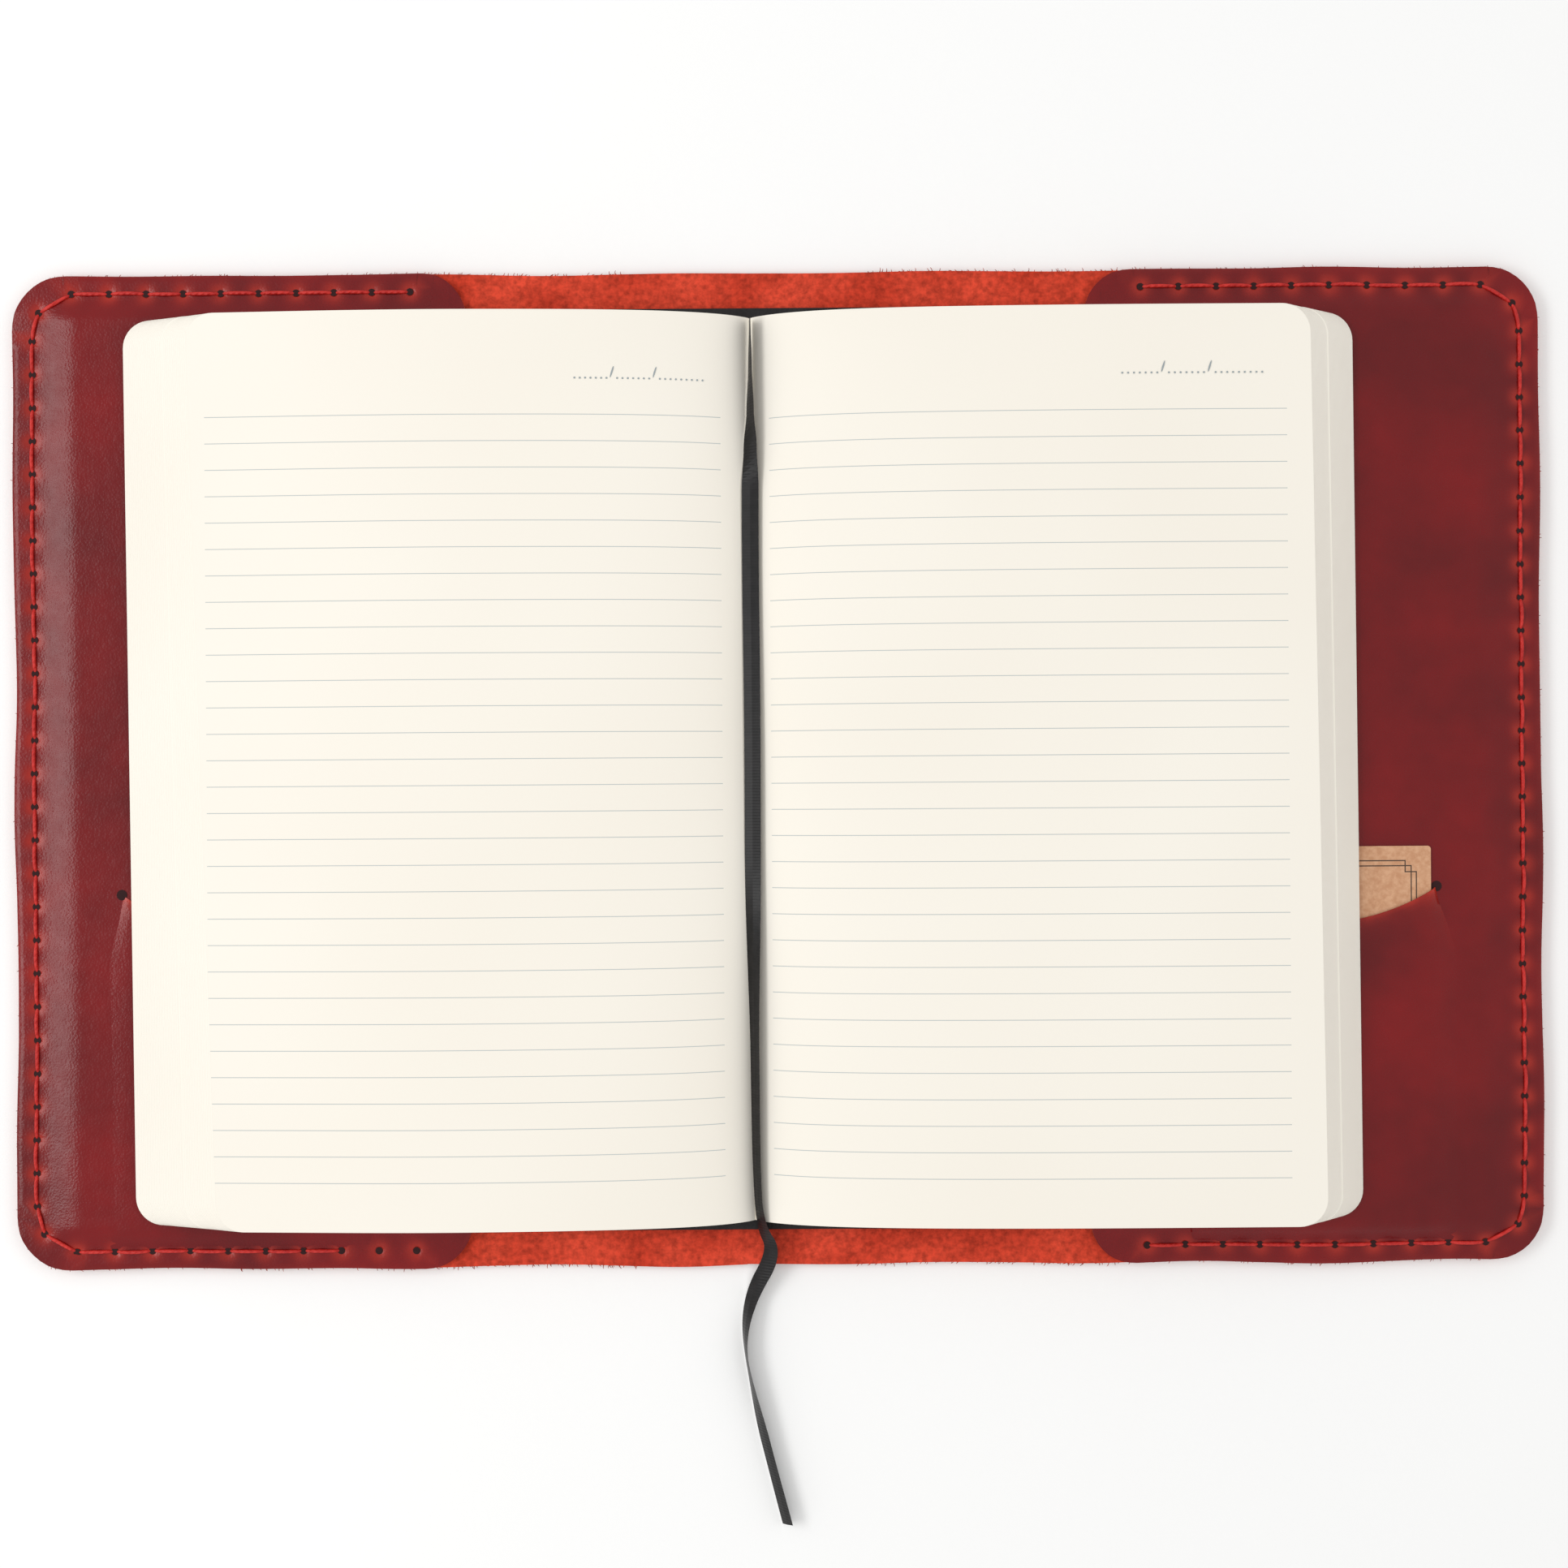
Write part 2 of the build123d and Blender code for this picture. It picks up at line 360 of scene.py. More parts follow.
suede = suedeMaterial()
pocketGrain = grainMaterial("burgundy_grain", "#64090E", "#7C0B0F")
outsideGrain = grainMaterial("outside_grain", "#6C1517", "#861D1C")
cutEdge = edgeMaterial()
thread = threadMaterial()
leatherette = leatheretteMaterial()
# The last colour is painted shade for the gaps between leaves.
leafEdges = pageEdgeMaterial("#FAF5EA", "#F7F1E5", "#E9E2D3")
plainPaper = paperMaterial("plain_paper")[0]
kraft = kraftMaterial()
satin = satinMaterial()
# Painted shade: the near-black red inside the awl holes and the punched holes.
holeShade = plainMaterial("hole_shadow", "#2A0607", 0.9)
ink = plainMaterial("printed_ink", "#9AA3A6", 0.8)
print("materials made")


# A flat outline with rounded corners, cut into a grid. Corners go near-low, far-low, far-high, near-high.
def planSheet(low, high, radii, uCuts, vCuts):
    bm = bmesh.new()
    spots = [(low[0], low[1]), (high[0], low[1]), (high[0], high[1]), (low[0], high[1])]
    corners = [bm.verts.new((u, v, 0)) for u, v in spots]
    bm.faces.new(corners)
    for corner, radius in zip(corners, radii):
        if radius:
            bmesh.ops.bevel(
                bm, geom=[corner], offset=radius, offset_type="OFFSET", segments=10,
                profile=0.5, affect="VERTICES", material=-1,
            )
    for cuts, normal in ((uCuts, (1, 0, 0)), (vCuts, (0, 1, 0))):
        for cut in cuts:
            everything = bm.verts[:] + bm.edges[:] + bm.faces[:]
            point = Vector(normal) * cut
            bmesh.ops.bisect_plane(bm, geom=everything, plane_co=point, plane_no=normal, dist=1e-5)
    return bm


def steps(low, high, size):
    count = max(1, round((high - low) / size))
    return [low + (high - low) * i / count for i in range(1, count)]


# Gives a flat sheet an upper face. The layer it returns, "leaf", is 0 below and 1 above.
def thicken(bm):
    leaf = bm.verts.layers.float.new("leaf")
    made = bmesh.ops.extrude_face_region(bm, geom=bm.faces[:])
    for item in made["geom"]:
        if isinstance(item, bmesh.types.BMVert):
            item[leaf] = 1.0
    return leaf


# Gives a thickened sheet's upper faces, lower faces and edges their material slots.
def markFaces(bm, leaf, upper, lower, edge):
    lowest = min(vert[leaf] for vert in bm.verts)
    for face in bm.faces:
        levels = [vert[leaf] for vert in face.verts]
        if max(levels) - min(levels) > 0.5:
            face.material_index = edge
        else:
            face.material_index = upper if levels[0] > lowest + 0.5 else lower


# Makes the object from a half: a left half is mirrored, and either is moved to the spine.
def makePiece(name, bm, side, materials, sharp=35):
    if sides[side] < 0:
        bmesh.ops.scale(bm, vec=(-1, 1, 1), verts=bm.verts)
    bmesh.ops.translate(bm, vec=(spineX, 0, 0), verts=bm.verts)
    bmesh.ops.scale(bm, vec=(mm, mm, mm), verts=bm.verts)
    bmesh.ops.recalc_face_normals(bm, faces=bm.faces)
    mesh = bpy.data.meshes.new(name)
    bm.to_mesh(mesh)
    bm.free()
    for material in materials:
        mesh.materials.append(material)
    mesh.polygons.foreach_set("use_smooth", [True] * len(mesh.polygons))
    mesh.set_sharp_from_angle(angle=math.radians(sharp))
    piece = bpy.data.objects.new(name, mesh)
    bpy.context.scene.collection.objects.link(piece)
    return piece


def world(side, u, v, z):
    return ((spineX + sides[side] * u) * mm, v * mm, z * mm)


def bend(piece):
    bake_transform(piece)


# The hide's outline was cut by hand, so it wanders by a few tenths of a millimetre.
outline = {"wander": 0.7, "size": 30, "reach": 9.0}


def wander(side, u, v):
    edge = min(hideEnd[side] - u, hideHalf - abs(v))
    most = outline["wander"] * (1 - smooth(edge, 0.0, outline["reach"]))
    size = outline["size"]
    spot = Vector((u * sides[side] / size, v / size, 3.0 * sides[side]))
    return noise.noise(spot) * most, noise.noise(spot + Vector((7, 3, 1))) * most


# Saddle stitching round three sides of each pocket, with one hole set in at each corner.
stitch = {
    "inset": 4.6,
    "endInset": 4.2,
    "sideCount": 27,
    "sidePitch": 7.77,
    "endCount": 10,
    "endPitch": 8.8,
    "endStart": 13.7,
    "corner": (6.2, 8.5),
    "thread": 0.46,
    "hole": 0.86,
    "sunk": 0.12,
    "cupDepth": 0.5,
    "cupTaper": 0.7,
    "bare": 2,
    "sway": 0.18,
    "taper": 0.28,
    "shares": (0.07, 0.15, 0.5, 0.85, 0.93),
    "over": [rimTop + rise for rise in (-0.45, 0.2, 0.42, 0.2, -0.45)],
    "under": [0.9, 0.5, 0.47, 0.5, 0.9],
}


# The holes in order, from the head row's inner end round to the tail row's.
def stitchHoles(side):
    edge, row = hideEnd[side], hideHalf - stitch["endInset"]
    ends = [edge - stitch["endStart"] - stitch["endPitch"] * i for i in range(stitch["endCount"])]
    span = stitch["sidePitch"] * (stitch["sideCount"] - 1) / 2
    corner = (edge - stitch["corner"][0], hideHalf - stitch["corner"][1])
    rising = [(u, row) for u in reversed(ends)] + [corner]
    middle = [(edge - stitch["inset"], span - stitch["sidePitch"] * i) for i in range(stitch["sideCount"])]
    return rising + middle + [(corner[0], -corner[1])] + [(u, -row) for u in ends]


# How far a point is from the seam, up to farOff. Only stitches within reach are measured.
farOff = 99.0


def seamDistance(holes, u, v, reach=8):
    best = farOff
    for (a, b), (c, d) in zip(holes, holes[1:]):
        if abs(u - (a + c) / 2) < reach and abs(v - (b + d) / 2) < reach:
            along = Vector((c - a, d - b))
            share = min(max(((u - a) * along.x + (v - b) * along.y) / along.length_squared, 0), 1)
            best = min(best, math.hypot(u - a - share * along.x, v - b - share * along.y))
    return best


def holeTree(side):
    holes = stitchHoles(side)
    tree = kdtree.KDTree(len(holes))
    for i, (u, v) in enumerate(holes):
        tree.insert((u, v, 0), i)
    tree.balance()
    return tree


# The hide: flesh side up, grain side down, its cut edge left raw.
hide = {
    "cut": 6.0,
    "longCut": 4.0,
    "seamCuts": (-1.6, -0.8, 0.0, 0.8, 1.6),
    "seamStart": 6,
    "radius": 12.5,
    "groove": 0.55,
    "grooveWidth": 1.1,
    "pale": 0.6,
    "paleWidth": 1.8,
    "nap": 0.12,
    "napSize": 18,
    "foldStart": -3.0,
    "foldEnd": 9.0,
}


# A cut for each millimetre across a fold.
def foldCuts(sheet):
    count = round(sheet["foldEnd"] - sheet["foldStart"])
    return [foldHalf + sheet["foldStart"] + i for i in range(count + 1)]


def makeHide(side):
    end = hideEnd[side]
    holes = stitchHoles(side)
    column = [end - stitch["inset"] + d for d in hide["seamCuts"]]
    row = hideHalf - stitch["endInset"]
    rows = [sign * (row + d) for d in hide["seamCuts"] for sign in (-1, 1)]
    uCuts = steps(0, end, hide["cut"]) + column + foldCuts(hide)
    vCuts = steps(-hideHalf, hideHalf, hide["longCut"]) + rows
    radii = (0, hide["radius"], hide["radius"], 0)
    bm = planSheet((0, -hideHalf), (end, hideHalf), radii, uCuts, vCuts)
    leaf = thicken(bm)
    stress = bm.verts.layers.float.new("stress")
    for vert in bm.verts:
        u, v = vert.co.x, vert.co.y
        du, dv = wander(side, u, v)
        sewn = seamDistance(holes, u, v) if u > pocketIn[side] + hide["seamStart"] else farOff
        sunk = hide["groove"] * math.exp(-((sewn / hide["grooveWidth"]) ** 2))
        vert[stress] = hide["pale"] * math.exp(-((sewn / hide["paleWidth"]) ** 2))
        spot = Vector((u / hide["napSize"], v / hide["napSize"], sides[side]))
        nap = hide["nap"] * noise.noise(spot)
        vert.co = (u + du, v + dv, hideThick + nap if vert[leaf] else sunk)
    markFaces(bm, leaf, 0, 1, 2)
    piece = makePiece("hide_sheet_" + side, bm, side, (suede, outsideGrain, cutEdge))
    bend(piece)
    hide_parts("hide_" + side, "hide_spine")


# The pocket: one leather sewn round three sides, raised over the notebook's board.
pocket = {
    "cut": 4.0,
    "thick": 1.0,
    "radius": 12.5,
    "mouthRadius": 11.0,
    "plateau": cardLow.z - 0.05,
    "sideRise": (5.2, 15.6),
    "endRise": (5.2, 10.4),
    "slack": 0.34,
    "slackSize": 34,
    "dimple": 0.6,
    "dimpleWidth": 1.0,
    "pale": 0.75,
    "paleWidth": 2.1,
    "worn": 0.16,
    "wornWidth": 1.6,
    "edgeDrop": 0.35,
    "edgeWidth": 0.9,
    "raggedSize": 2.2,
    "aboveHide": 0.02,
}


def pocketTop(side, u, v):
    across = hideEnd[side] - u
    along = hideHalf - abs(v)
    rise = smooth(across, *pocket["sideRise"]) * smooth(along, *pocket["endRise"])
    spot = Vector((u * sides[side] / pocket["slackSize"], v / pocket["slackSize"], 5.0))
    slack = pocket["slack"] * rise * (0.5 + 0.5 * noise.noise(spot))
    return rimTop + rise * (pocket["plateau"] - rimTop) - slack


def makePocket(side):
    mouth, end = pocketIn[side], hideEnd[side]
    tree = holeTree(side)
    near, far, cut = pocket["mouthRadius"], pocket["radius"], pocket["cut"]
    bm = planSheet(
        (mouth, -hideHalf), (end, hideHalf), (near, far, far, near),
        steps(mouth, end, cut), steps(-hideHalf, hideHalf, cut),
    )
    bmesh.ops.subdivide_edges(bm, edges=bm.edges[:], cuts=4, use_grid_fill=True)
    leaf = thicken(bm)
    stress = bm.verts.layers.float.new("stress")
    for vert in bm.verts:
        u, v = vert.co.x, vert.co.y
        du, dv = wander(side, u, v)
        hole = tree.find((u, v, 0))[2]
        dent = pocket["dimple"] * math.exp(-((hole / pocket["dimpleWidth"]) ** 2))
        pierced = pocket["pale"] * math.exp(-((hole / pocket["paleWidth"]) ** 2))
        rim = min(end - u, hideHalf - abs(v), u - mouth)
        worn = pocket["worn"] * (1 - smooth(rim, 0.0, pocket["wornWidth"]))
        spot = Vector((u / pocket["raggedSize"], v / pocket["raggedSize"], 9.0))
        ragged = 0.5 + 0.5 * noise.noise(spot)
        vert[stress] = min(1.0, pierced * (0.6 + 0.6 * ragged) + worn * ragged)
        top = pocketTop(side, u, v)
        rounded = pocket["edgeDrop"] * (1 - smooth(rim, 0.0, pocket["edgeWidth"]))
        below = max(top - pocket["thick"], hideThick + pocket["aboveHide"])
        vert.co = (u + du, v + dv, top - dent - rounded if vert[leaf] else below)
    markFaces(bm, leaf, 0, 0, 1)
    piece = makePiece("pocket_leather_" + side, bm, side, (pocketGrain, cutEdge), 50)
    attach(piece, "cover_" + side)
    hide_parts("pocket_" + side)


# The curved slot's lower lip, which a card lifts. Only the right slot holds one. Blends and falls
# are measured in shares of the lip's width and length.
slot = {
    "cuts": (56, 64),
    "edge": 25.2,
    "width": 57.8,
    "spread": 6.0,
    "spreadBy": 0.2,
    "tuck": 1.4,
    "sideBlend": 0.022,
    "lowBlend": 0.07,
    "y": -28.4,
    "dip": 8.5,
    "low": -111.0,
    "thick": 0.4,
    "lift": {"left": -0.08, "right": 0.78},
    "mouth": {"left": 0.26, "right": 0.36},
    "mouthFall": 9,
    "sunk": 0.1,
    "edgeDrop": 0.2,
    "edgeBlend": 0.012,
    "pale": 0.9,
    "paleFall": 70,
    "sidePale": 0.5,
    "sideFall": (22, 16),
    "raggedSize": 3,
    "punch": 1.25,
    "punchRise": 0.06,
}


# The slot is an arc through its two ends, lowest in the middle.
def slotY(share):
    radius = (slot["width"] ** 2 / 4 + slot["dip"] ** 2) / (2 * slot["dip"])
    off = (share - 0.5) * slot["width"]
    return slot["y"] - (math.sqrt(radius**2 - off**2) - (radius - slot["dip"]))


def makeSlotLip(side):
    lift, mouth = slot["lift"][side], slot["mouth"][side]
    aCuts, bCuts = (steps(0, 1, 1 / count) for count in slot["cuts"])
    bm = planSheet((0, 0), (1, 1), (0, 0, 0, 0), aCuts, bCuts)
    leaf = thicken(bm)
    stress = bm.verts.layers.float.new("stress")
    far = hideEnd[side] - slot["edge"]
    for vert in bm.verts:
        a, b = vert.co.x, vert.co.y
        spread = slot["spread"] * smooth(b, 0.0, slot["spreadBy"])
        u = far - slot["width"] + (slot["width"] + spread) * a
        v = slotY(a) + (slot["low"] - slotY(a)) * b
        slope = (slot["tuck"] + spread) / slot["width"]
        across = smooth(a, 0, slot["sideBlend"]) * smooth(1 - a, 0, slope)
        border = across * smooth(1 - b, 0, slot["lowBlend"])
        base = pocketTop(side, u, v) - slot["sunk"]
        crest = pocket["plateau"] + lift + mouth * math.exp(-b * slot["mouthFall"])
        edge = slot["edgeDrop"] * (1 - smooth(b, 0.0, slot["edgeBlend"]))
        top = base + (crest - base) * border
        spot = Vector((u / slot["raggedSize"], v / slot["raggedSize"], 2.0))
        ragged = 0.5 + 0.5 * noise.noise(spot)
        bent = slot["pale"] * math.exp(-b * slot["paleFall"]) * ragged
        aFall, bFall = slot["sideFall"]
        pulled = slot["sidePale"] * math.exp(-min(a, 1 - a) * aFall - b * bFall)
        vert[stress] = bent + pulled
        vert.co = (u, v, top - edge if vert[leaf] else top - slot["thick"])
    markFaces(bm, leaf, 0, 0, 1)
    piece = makePiece("slot_lip_" + side, bm, side, (pocketGrain, cutEdge), 60)
    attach(piece, "cover_" + side)


# Holes are shallow cups in a near-black colour, painted shade for the depth of each hole; the punched hole
# at each end of the slot is larger.
def makeHoles(side):
    bm = bmesh.new()
    spots = [(u, v, stitch["hole"], rimTop - stitch["sunk"]) for u, v in stitchHoles(side)]
    far = hideEnd[side] - slot["edge"]
    for u in (far, far - slot["width"]):
        z = pocketTop(side, u, slot["y"]) + slot["punchRise"]
        spots.append((u, slot["y"], slot["punch"], z))
    for u, v, radius, z in spots:
        du, dv = wander(side, u, v)
        made = bmesh.ops.create_cone(
            bm, cap_ends=True, segments=12,
            radius1=radius * stitch["cupTaper"], radius2=radius, depth=stitch["cupDepth"],
        )
        middle = (u + du, v + dv, z - stitch["cupDepth"] / 2)
        bmesh.ops.translate(bm, vec=middle, verts=made["verts"])
    piece = makePiece("awl_holes_" + side, bm, side, (holeShade,))
    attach(piece, "cover_" + side)


# A length of thread from each hole to the next, on the pocket and under the hide. The left tail row
# has lost its last ones on the pocket's side.
def makeThread(side):
    curve = bpy.data.curves.new("thread_" + side, "CURVE")
    curve.dimensions = "3D"
    curve.bevel_depth = stitch["thread"] * mm
    curve.bevel_resolution = 2
    curve.resolution_u = 5
    holes = stitchHoles(side)
    rng = random.Random(4 + sides[side])
    bare = len(holes) - 1 - (stitch["bare"] if side == "left" else 0)
    for i, ((a, b), (c, d)) in enumerate(zip(holes, holes[1:])):
        sway = rng.uniform(-stitch["sway"], stitch["sway"])
        length = math.hypot(c - a, d - b)
        out = Vector((-(d - b), c - a)) / length * sway
        lengths = [stitch["under"]] if i >= bare else [stitch["over"], stitch["under"]]
        for heights in lengths:
            line = curve.splines.new("NURBS")
            line.points.add(len(heights) - 1)
            for point, share, z in zip(line.points, stitch["shares"], heights):
                bow = math.sin(math.pi * share)
                u = a + (c - a) * share + out.x * bow
                v = b + (d - b) * share + out.y * bow
                du, dv = wander(side, u, v)
                point.co = (*world(side, u + du, v + dv, z), 1)
                point.radius = 1 - stitch["taper"] + stitch["taper"] * bow
            line.order_u = 3
            line.use_endpoint_u = True
    curve.materials.append(thread)
    piece = bpy.data.objects.new("thread_" + side, curve)
    bpy.context.scene.collection.objects.link(piece)
    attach(piece, "cover_" + side)
    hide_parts("stitches_" + side)


# Raw fibres that stand out of the hide's cut edge, clear of the part that folds.
fuzz = {
    "count": 620,
    "length": (0.25, 1.0),
    "radius": 0.11,
    "clear": 12.0,
    "lean": 0.9,
    "curl": 0.5,
    "heights": (0.3, hideThick - 0.2),
    "shares": (-0.3, 0.5, 1.0),
}


def makeFuzz(side):
    curve = bpy.data.curves.new("edge_fibres_" + side, "CURVE")
    curve.dimensions = "3D"
    curve.bevel_depth = fuzz["radius"] * mm
    curve.bevel_resolution = 0
    curve.resolution_u = 2
    rng = random.Random(11 + sides[side])
    end, radius = hideEnd[side], hide["radius"]
    start = foldHalf + fuzz["clear"]
    row = end - radius - start
    corner = math.pi * radius / 2
    column = 2 * (hideHalf - radius)
    total = 2 * (row + corner) + column
    for fibre in range(fuzz["count"]):
        along = rng.uniform(0, total)
        flip = 1
        if along > total / 2:
            along, flip = total - along, -1
        if along < row:
            u, v, angle = start + along, hideHalf, math.pi / 2
        elif along < row + corner:
            angle = math.pi / 2 - (along - row) / radius
            u = end - radius + radius * math.cos(angle)
            v = hideHalf - radius + radius * math.sin(angle)
        else:
            u, v, angle = end, hideHalf - radius - (along - row - corner), 0.0
        du, dv = wander(side, u, v * flip)
        lean = angle + rng.uniform(-fuzz["lean"], fuzz["lean"])
        out = rng.uniform(*fuzz["length"])
        z = rng.uniform(*fuzz["heights"])
        line = curve.splines.new("NURBS")
        line.points.add(2)
        for point, share in zip(line.points, fuzz["shares"]):
            bow = lean + (fuzz["curl"] if share == 1.0 else 0)
            x = u + du + out * share * math.cos(bow)
            y = (v + out * share * math.sin(bow)) * flip + dv
            rise = out * share * rng.uniform(-0.3, 0.3)
            point.co = (*world(side, x, y, max(0.1, z + rise)), 1)
            point.radius = 1.0 - 0.5 * max(share, 0)
        line.order_u = 3
        line.use_endpoint_u = True
    curve.materials.append(cutEdge)
    piece = bpy.data.objects.new("edge_fibres_" + side, curve)
    bpy.context.scene.collection.objects.link(piece)
    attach(piece, "cover_" + side)


for side in sides:
    makeHide(side)
    makePocket(side)
    makeSlotLip(side)
    makeHoles(side)
    makeThread(side)
    makeFuzz(side)
print("sleeve made")


# The notebook's case: black leatherette over board, cut finer at the joints beside its spine.
case = {
    "cut": 12,
    "longCut": 20,
    "radius": 6.5,
    "aboveHide": 0.14,
    "belowPaper": 0.02,
    "foldStart": -2.0,
    "foldEnd": 4.0,
}


def makeCase(side):
    uCuts = steps(0, boardEnd, case["cut"]) + foldCuts(case)
    vCuts = steps(-caseHalf, caseHalf, case["longCut"])
    radii = (0, case["radius"], case["radius"], 0)
    bm = planSheet((0, -caseHalf), (boardEnd, caseHalf), radii, uCuts, vCuts)
    leaf = thicken(bm)
    for vert in bm.verts:
        vert.co.z = caseZ - case["belowPaper"] if vert[leaf] else hideThick + case["aboveHide"]
    piece = makePiece("case_sheet_" + side, bm, side, (leatherette,))
    bend(piece)
    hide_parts("board_" + side, "case_spine")


# A section of pages is a curved slab between two levels of the block. Level 0 is the board,
# level 5 the open page. Nearer the spine every level falls into the gutter.
pages = {
    "cuts": 46,
    "crowding": 1.7,
    "longCut": 8,
    "radius": 6.5,
    "fall": 16.5,
    "power": 0.8,
    "gutter": {"left": -2.0, "right": 2.0},
    "bottomReach": {"left": 142.3, "right": 142.2},
    "topReach": {"left": 124.0, "right": 131.0},
    "bottomSkew": {"left": 0.9, "right": -0.6},
    "topSkew": {"left": 3.0, "right": -1.4},
    "ledge": 0.3,
    "ledgeIndex": 2,
    "droop": {"left": 3.6, "right": 0.5},
    "droopFrom": (62, 150),
    "first": 5.86,
    "firstRise": (9, 1),
    "gap": 0.04,
    "leafRise": 0.12,
    "wave": 0.12,
    "waveSize": (40, 50),
    "stagger": 0.02,
    "bendPast": 16,
    "boundPast": 6,
}


def pageStart(side, level):
    share = level / pageCount
    return foldHalf + (pages["gutter"][side] - foldHalf) * share


def pageReach(side, level, v):
    low = pages["bottomReach"][side] + pages["bottomSkew"][side] * v / pageHalf
    high = pages["topReach"][side] + pages["topSkew"][side] * v / pageHalf
    return low + (high - low) * level / pageCount


def pageZ(side, level, u):
    start = pageStart(side, level)
    base = foldZ + pages["gap"] + pages["leafRise"] * level
    if level == 0:
        low, high = (pocketIn[side] - before for before in pages["firstRise"])
        return base + (pages["first"] - base) * smooth(u, low, high)
    full = pages["first"] + (pageTop - pages["first"]) * level / pageCount
    share = 1 - math.exp(-((max(u - start, 0) / pages["fall"]) ** pages["power"]))
    droop = pages["droop"][side] * smooth(u, *pages["droopFrom"]) * level / pageCount
    return base + (full - base) * share - droop


def makeSection(side, index):
    width = nodeBox("pages_right_0")[1].x - nodeBox("pages_right_0")[0].x
    cuts = pages["cuts"]
    uCuts = [width * (i / cuts) ** pages["crowding"] for i in range(1, cuts)]
    vCuts = steps(-pageHalf, pageHalf, pages["longCut"])
    radii = (0, pages["radius"], pages["radius"], 0)
    bm = planSheet((0, -pageHalf), (width, pageHalf), radii, uCuts, vCuts)
    leaf = thicken(bm)
    across = bm.verts.layers.float.new("across")
    along = bm.verts.layers.float.new("along")
    uSize, vSize = pages["waveSize"]
    for vert in bm.verts:
        level, v = index + vert[leaf], vert.co.y
        start, reach = pageStart(side, level), pageReach(side, level, v)
        reach += pages["ledge"] if index <= pages["ledgeIndex"] else 0.0
        u = start + vert.co.x / width * (reach - start)
        spot = Vector((u / uSize, v / vSize, sides[side] * 3.0))
        wave = pages["wave"] * noise.noise(spot) * level / pageCount
        vert.co = (u, v - pages["stagger"] * index, pageZ(side, level, u) + wave)
        vert[leaf] = level
        vert[across] = (spineX + sides[side] * u) * mm
        vert[along] = vert.co.y * mm
    markFaces(bm, leaf, 0, 0, 1)
    face = ruledPaper[side] if index == pageCount - 1 else plainPaper
    piece = makePiece("leaves_%s_level_%d" % (side, index), bm, side, (face, leafEdges), 18)
    bend(piece)
    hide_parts("pages_%s_%d" % (side, index))


# The blank for a date: dots with two slashes, at the top right of each page.
date = {
    "y": 89.3,
    "start": {"left": -45.8, "right": 78.8},
    "length": {"left": 29.0, "right": 31.8},
    "dots": 25,
    "dot": 0.24,
    "slashes": (7, 15),
    "slashShape": (0.8, 6.0, 1),
    "slashLean": -0.3,
    "slashRise": 1.4,
    "abovePage": 0.13,
}


def makeDateLine(side):
    bm = bmesh.new()
    for i in range(date["dots"]):
        x = date["start"][side] + date["length"][side] * i / (date["dots"] - 1)
        u, v = (x - spineX) * sides[side], date["y"]
        z = pageZ(side, pageCount, u) + date["abovePage"]
        made = bmesh.ops.create_circle(bm, cap_ends=True, segments=8, radius=date["dot"])
        if i in date["slashes"]:
            v += date["slashRise"]
            bmesh.ops.scale(bm, vec=date["slashShape"], verts=made["verts"])
            lean = Euler((0, 0, date["slashLean"] * sides[side])).to_matrix()
            bmesh.ops.rotate(bm, cent=(0, 0, 0), matrix=lean, verts=made["verts"])
        bmesh.ops.translate(bm, vec=(u, v, z), verts=made["verts"])
    piece = makePiece("date_line_" + side, bm, side, (ink,))
    bend(piece)


ruledPaper = {side: ruledMaterial(side) for side in sides}
for side in sides:
    makeCase(side)
    for index in range(pageCount):
        makeSection(side, index)
    makeDateLine(side)
print("notebook made")


# The marker ribbon, 4 mm wide: glued at the head of the spine, laid down the gutter and out over
# the tail onto the table. Its points follow the CAD cord's, a few millimetres off where the curved
# leaves leave the gutter open. A turn is the ribbon's angle to the table at a share of its length.
ribbon = {
    "route": [
        (-5.9, 104.0, 7.6),
        (-5.9, 84.0, 7.6),
        (-6.2, 50.0, 6.8),
        (-5.9, 12.0, 7.2),
        (-6.1, -28.0, 7.0),
        (-5.9, -66.0, 7.0),
        (-5.7, -94.0, 6.6),
        (-4.9, -106.0, 6.2),
        (-1.4, -112.5, 4.4),
        (-7.4, -123.5, 1.2),
        (-9.2, -134.0, 0.6),
        (-6.6, -147.0, 0.6),
        (-3.2, -161.0, 0.6),
        (1.0, -177.0, 0.6),
    ],
    "width": 4.0,
    "thick": 0.22,
    "aboveTable": 0.1,
    "turns": [
        (0.0, 96), (0.04, 104), (0.075, 116), (0.105, 140), (0.14, 168), (0.42, 160), (0.6, 122),
        (0.72, 118), (0.78, 150), (0.86, 102), (0.93, 125), (1.0, 128),
    ],
}


def ribbonTurn(share):
    for (a, first), (b, second) in zip(ribbon["turns"], ribbon["turns"][1:]):
        if share <= b:
            return math.radians(first + (second - first) * smooth(share, a, b))
    return math.radians(ribbon["turns"][-1][1])


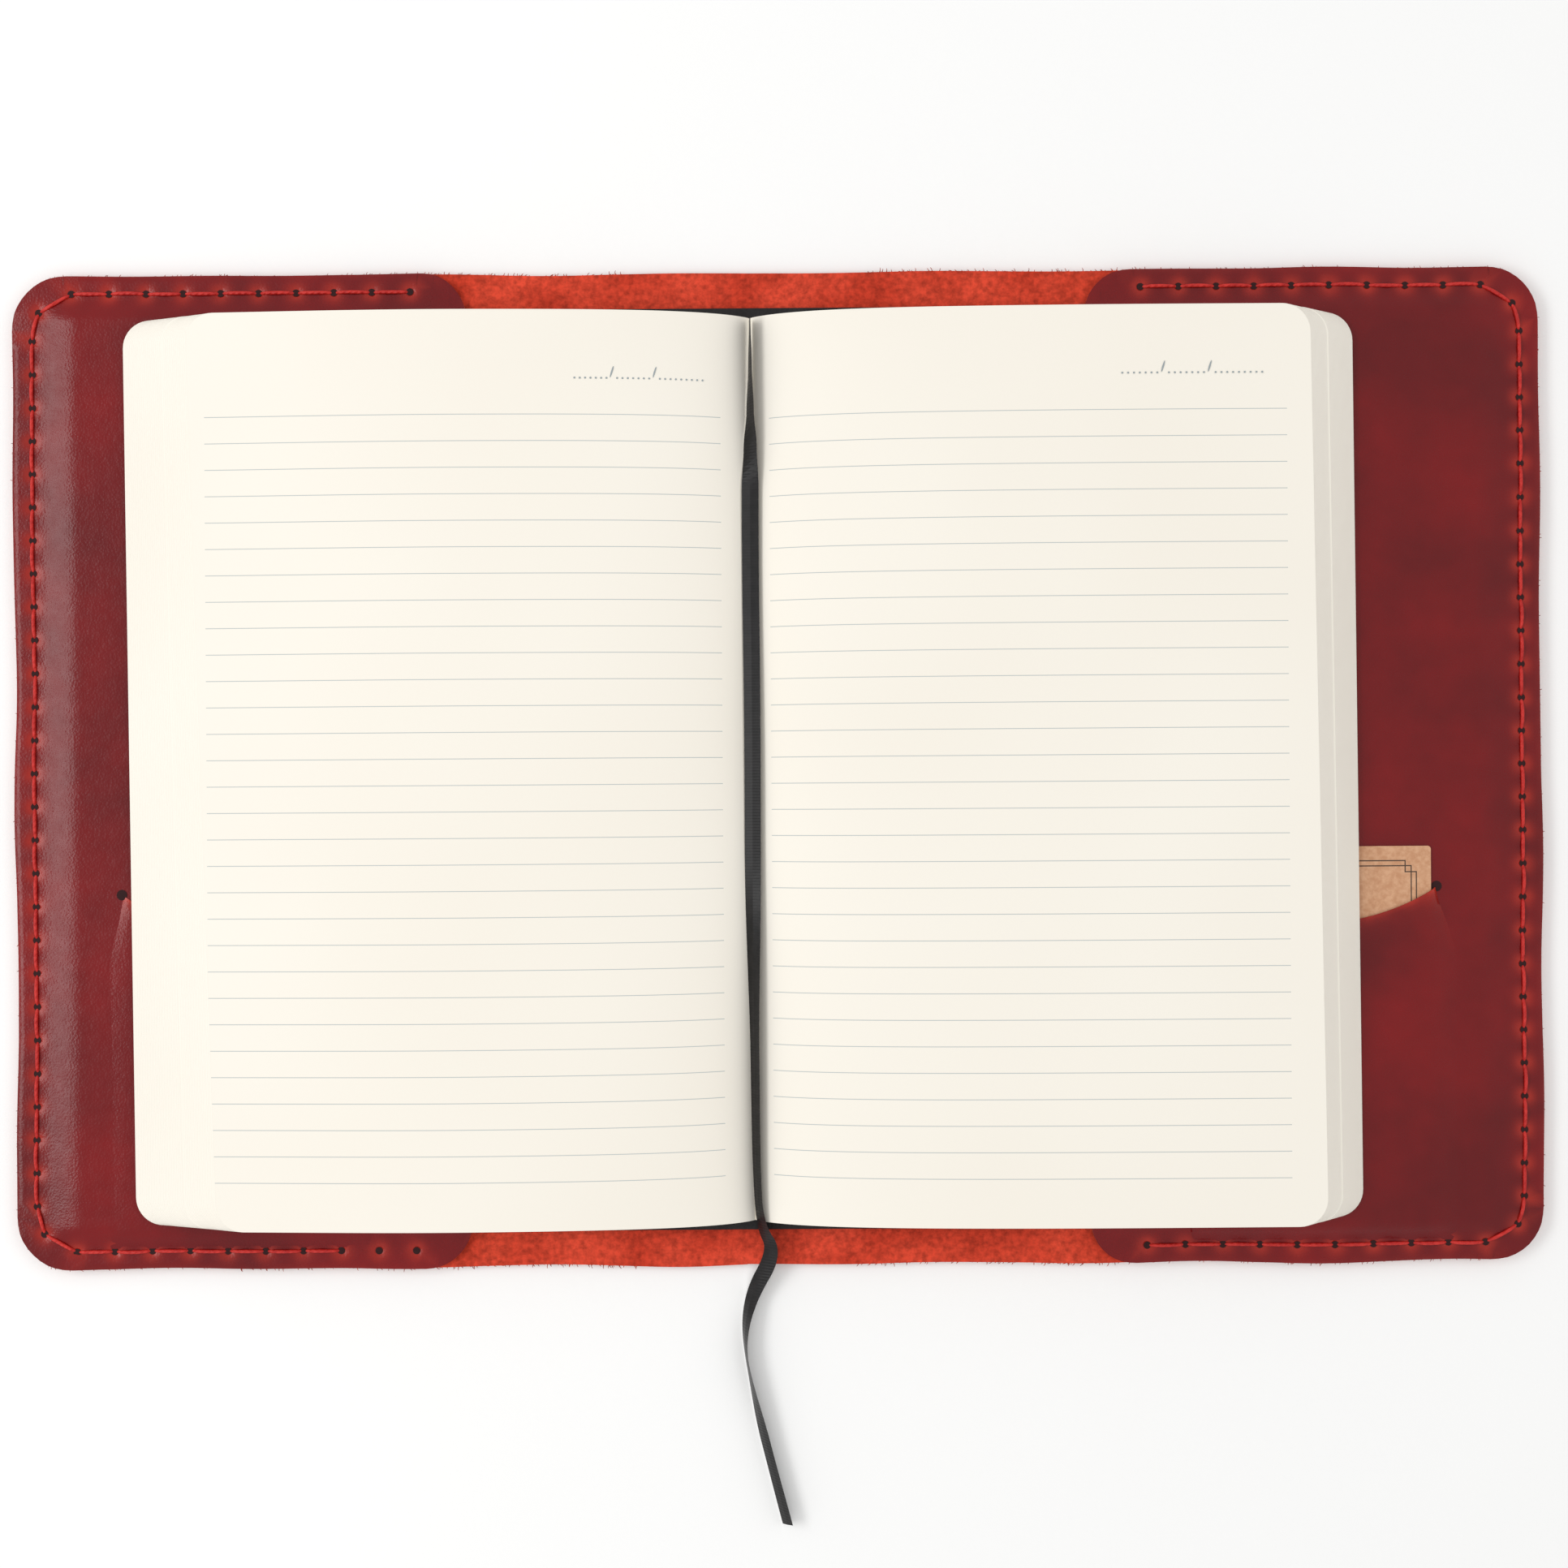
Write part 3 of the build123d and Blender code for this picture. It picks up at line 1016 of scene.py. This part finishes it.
def makeRibbon():
    guide = bpy.data.curves.new("ribbon_guide", "CURVE")
    guide.dimensions = "3D"
    line = guide.splines.new("NURBS")
    line.points.add(len(ribbon["route"]) - 1)
    for point, spot in zip(line.points, ribbon["route"]):
        point.co = (*[value * mm for value in spot], 1)
    line.order_u = 3
    line.use_endpoint_u = True
    guide.resolution_u = 24
    holder = bpy.data.objects.new("ribbon_guide", guide)
    bpy.context.scene.collection.objects.link(holder)
    bpy.context.view_layer.update()
    track = bpy.data.meshes.new_from_object(holder)
    path = [vert.co.copy() for vert in track.vertices]
    bpy.data.objects.remove(holder)
    bpy.data.meshes.remove(track)
    lengths = [(b - a).length for a, b in zip(path, path[1:])]
    total = sum(lengths)
    bm = bmesh.new()
    half, thin = ribbon["width"] / 2 * mm, ribbon["thick"] / 2 * mm
    rings, done = [], 0.0
    for i, centre in enumerate(path):
        ahead = (path[min(i + 1, len(path) - 1)] - path[max(i - 1, 0)]).normalized()
        across = ahead.cross(Vector((0, 0, 1))).normalized()
        rise = across.cross(ahead)
        turn = ribbonTurn(done / total)
        done += lengths[i] if i < len(lengths) else 0
        wide = across * math.cos(turn) + rise * math.sin(turn)
        flat = wide.cross(ahead)
        lift = max(0.0, half * abs(math.sin(turn)) + ribbon["aboveTable"] * mm - centre.z)
        spots = [wide * half, flat * thin, wide * -half, flat * -thin]
        rings.append([bm.verts.new(centre + spot + Vector((0, 0, lift))) for spot in spots])
    loops = []
    for ring in rings:
        loops.append([bm.edges.new((ring[k], ring[(k + 1) % 4])) for k in range(4)])
    for first, second in zip(loops, loops[1:]):
        bmesh.ops.bridge_loops(bm, edges=first + second)
    bm.faces.new(rings[0])
    bm.faces.new(rings[-1])
    bmesh.ops.recalc_face_normals(bm, faces=bm.faces)
    mesh = bpy.data.meshes.new("marker_ribbon")
    bm.to_mesh(mesh)
    bm.free()
    mesh.materials.append(satin)
    piece = bpy.data.objects.new("marker_ribbon", mesh)
    bpy.context.scene.collection.objects.link(piece)
    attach(piece, "spine")
    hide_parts("ribbon")
    print("ribbon", round(total / mm, 1), "mm long")


makeRibbon()

# The flat pieces that need no shape beyond the CAD's: only their material changes.
for name, material in (
    ("card", kraft),
    ("endpaper_left", plainPaper),
    ("endpaper_right", plainPaper),
    ("spine_lining", plainPaper),
):
    node = frame["nodes"][name]
    node.data.materials.clear()
    node.data.materials.append(material)

# Studio, in metres: a pale floor, a long panel at the left, which flat leather doesn't mirror but
# the slope inside the left seam does, and a weaker one at the right that nothing mirrors.
studio = {"floor": "#FCFCFB", "floorHalf": 3.0, "floorDrop": 0.0002, "world": 0.77}
lights = {
    "key": {
        "place": (-0.74, 0.06, 0.7), "aim": (-0.05, 0, 0), "size": (0.75, 0.3),
        "power": 3.45, "mirrored": True,
    },
    "fill": {
        "place": (0.8, 0.1, 0.6), "aim": (0.05, 0, 0), "size": (0.6, 0.9),
        "power": 0.9, "mirrored": False,
    },
}


def addLight(name, light):
    data = bpy.data.lights.new(name, "AREA")
    data.energy = light["power"]
    data.shape = "RECTANGLE"
    data.size, data.size_y = light["size"]
    lamp = bpy.data.objects.new(name, data)
    lamp.location = light["place"]
    aim = Vector(light["aim"]) - Vector(light["place"])
    lamp.rotation_euler = aim.to_track_quat("-Z", "Y").to_euler()
    lamp.visible_glossy = light["mirrored"]
    bpy.context.scene.collection.objects.link(lamp)


def makeStudio():
    bm = bmesh.new()
    bmesh.ops.create_grid(bm, x_segments=1, y_segments=1, size=studio["floorHalf"])
    mesh = bpy.data.meshes.new("floor")
    bm.to_mesh(mesh)
    bm.free()
    floor = bpy.data.objects.new("floor", mesh)
    floor.data.materials.append(plainMaterial("pale_floor", studio["floor"], 0.9))
    bpy.context.scene.collection.objects.link(floor)
    floor.location.z = -studio["floorDrop"]
    sky = bpy.data.worlds.new("studio")
    bpy.context.scene.world = sky
    sky.use_nodes = True
    sky.node_tree.nodes["Background"].inputs["Color"].default_value = (1, 1, 1, 1)
    sky.node_tree.nodes["Background"].inputs["Strength"].default_value = studio["world"]
    for name, light in lights.items():
        addLight(name, light)


makeStudio()
print("studio made")
